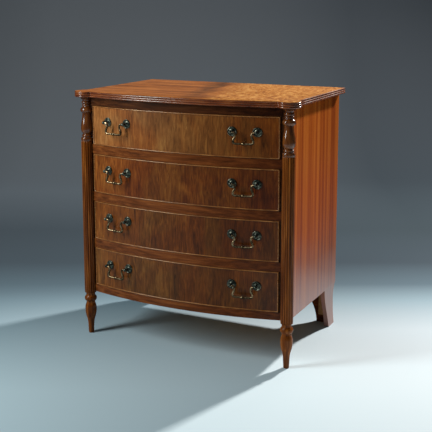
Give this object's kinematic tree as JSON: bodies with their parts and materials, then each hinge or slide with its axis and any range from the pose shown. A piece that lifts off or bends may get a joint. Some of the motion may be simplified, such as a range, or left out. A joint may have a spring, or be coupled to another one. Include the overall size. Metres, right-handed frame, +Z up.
{
  "type": "bow front chest of drawers",
  "caption": "Bow front chest of drawers in polished mahogany with reeded corner posts, turned front feet, cock-beaded drawers and swan-neck bail pulls.",
  "frame": {"origin": "on the floor, at the middle of the top board's width and depth", "axes": "+X to the right, -Y out of the drawer fronts, +Z up"},
  "size_m": [0.774, 0.5179, 0.812],
  "materials": {
    "top_mahogany": "polished figured mahogany veneer",
    "frame_mahogany": "polished dark mahogany",
    "post_mahogany": "polished dark mahogany, turned and reeded",
    "side_mahogany": "polished ribbon-stripe mahogany",
    "drawer_veneer": "polished figured mahogany veneer",
    "bead_mahogany": "polished mahogany cock bead",
    "drawer_wood": "plain unpolished hardwood",
    "inner_wood": "plain unpolished hardwood",
    "back_ply": "stained plywood",
    "antique_brass": "cast brass, darkened with age",
    "screw_steel": "plain steel wood screw"
  },
  "bodies": {
    "carcase": {"top_board": "top_mahogany", "corner_stiles": "frame_mahogany", "top_rail": "frame_mahogany", "bottom_rail": "frame_mahogany", "drawer_runners": "inner_wood", "top_kickers": "inner_wood", "back_panel": "back_ply", "back_rails": "inner_wood", "glue_blocks": "inner_wood", "drawer_stops": "inner_wood", "top_screws": "screw_steel", "drawer_rail_upper": "frame_mahogany", "drawer_rail_middle": "frame_mahogany", "drawer_rail_lower": "frame_mahogany", "corner_post_left": "post_mahogany", "side_panel_left": "side_mahogany", "rear_foot_bracket_left": "side_mahogany", "corner_post_right": "post_mahogany", "side_panel_right": "side_mahogany", "rear_foot_bracket_right": "side_mahogany"},
    "drawer_1": {"drawer_1_front": "drawer_veneer", "drawer_1_cock_beads": "bead_mahogany", "drawer_1_side_left": "drawer_wood", "drawer_1_side_right": "drawer_wood", "drawer_1_back": "drawer_wood", "drawer_1_bottom": "drawer_wood", "drawer_1_pull_roses": "antique_brass", "drawer_1_pull_posts": "antique_brass"},
    "drawer_1_bail_left": {"drawer_1_bail_left": "antique_brass"},
    "drawer_1_bail_right": {"drawer_1_bail_right": "antique_brass"},
    "drawer_2": {"drawer_2_front": "drawer_veneer", "drawer_2_cock_beads": "bead_mahogany", "drawer_2_side_left": "drawer_wood", "drawer_2_side_right": "drawer_wood", "drawer_2_back": "drawer_wood", "drawer_2_bottom": "drawer_wood", "drawer_2_pull_roses": "antique_brass", "drawer_2_pull_posts": "antique_brass"},
    "drawer_2_bail_left": {"drawer_2_bail_left": "antique_brass"},
    "drawer_2_bail_right": {"drawer_2_bail_right": "antique_brass"},
    "drawer_3": {"drawer_3_front": "drawer_veneer", "drawer_3_cock_beads": "bead_mahogany", "drawer_3_side_left": "drawer_wood", "drawer_3_side_right": "drawer_wood", "drawer_3_back": "drawer_wood", "drawer_3_bottom": "drawer_wood", "drawer_3_pull_roses": "antique_brass", "drawer_3_pull_posts": "antique_brass"},
    "drawer_3_bail_left": {"drawer_3_bail_left": "antique_brass"},
    "drawer_3_bail_right": {"drawer_3_bail_right": "antique_brass"},
    "drawer_4": {"drawer_4_front": "drawer_veneer", "drawer_4_cock_beads": "bead_mahogany", "drawer_4_side_left": "drawer_wood", "drawer_4_side_right": "drawer_wood", "drawer_4_back": "drawer_wood", "drawer_4_bottom": "drawer_wood", "drawer_4_pull_roses": "antique_brass", "drawer_4_pull_posts": "antique_brass"},
    "drawer_4_bail_left": {"drawer_4_bail_left": "antique_brass"},
    "drawer_4_bail_right": {"drawer_4_bail_right": "antique_brass"}
  },
  "joints": [
    {"name": "drawer_1_slide", "type": "slide", "parent": "carcase", "child": "drawer_1", "axis": [0, -1, 0], "range_m": [0, 0.32]},
    {"name": "drawer_1_bail_left_swing", "type": "hinge", "parent": "drawer_1", "child": "drawer_1_bail_left", "pos_m": [-0.22317, -0.23867, 0.71735], "axis": [-0.9851, 0.172, 0], "range_deg": [-20, 180]},
    {"name": "drawer_1_bail_right_swing", "type": "hinge", "parent": "drawer_1", "child": "drawer_1_bail_right", "pos_m": [0.22317, -0.23867, 0.71735], "axis": [-0.9851, -0.172, 0], "range_deg": [-20, 180]},
    {"name": "drawer_2_slide", "type": "slide", "parent": "carcase", "child": "drawer_2", "axis": [0, -1, 0], "range_m": [0, 0.32]},
    {"name": "drawer_2_bail_left_swing", "type": "hinge", "parent": "drawer_2", "child": "drawer_2_bail_left", "pos_m": [-0.22317, -0.23867, 0.56145], "axis": [-0.9851, 0.172, 0], "range_deg": [-20, 180]},
    {"name": "drawer_2_bail_right_swing", "type": "hinge", "parent": "drawer_2", "child": "drawer_2_bail_right", "pos_m": [0.22317, -0.23867, 0.56145], "axis": [-0.9851, -0.172, 0], "range_deg": [-20, 180]},
    {"name": "drawer_3_slide", "type": "slide", "parent": "carcase", "child": "drawer_3", "axis": [0, -1, 0], "range_m": [0, 0.32]},
    {"name": "drawer_3_bail_left_swing", "type": "hinge", "parent": "drawer_3", "child": "drawer_3_bail_left", "pos_m": [-0.22317, -0.23867, 0.40555], "axis": [-0.9851, 0.172, 0], "range_deg": [-20, 180]},
    {"name": "drawer_3_bail_right_swing", "type": "hinge", "parent": "drawer_3", "child": "drawer_3_bail_right", "pos_m": [0.22317, -0.23867, 0.40555], "axis": [-0.9851, -0.172, 0], "range_deg": [-20, 180]},
    {"name": "drawer_4_slide", "type": "slide", "parent": "carcase", "child": "drawer_4", "axis": [0, -1, 0], "range_m": [0, 0.32]},
    {"name": "drawer_4_bail_left_swing", "type": "hinge", "parent": "drawer_4", "child": "drawer_4_bail_left", "pos_m": [-0.22317, -0.23867, 0.24965], "axis": [-0.9851, 0.172, 0], "range_deg": [-20, 180]},
    {"name": "drawer_4_bail_right_swing", "type": "hinge", "parent": "drawer_4", "child": "drawer_4_bail_right", "pos_m": [0.22317, -0.23867, 0.24965], "axis": [-0.9851, -0.172, 0], "range_deg": [-20, 180]}
  ]
}
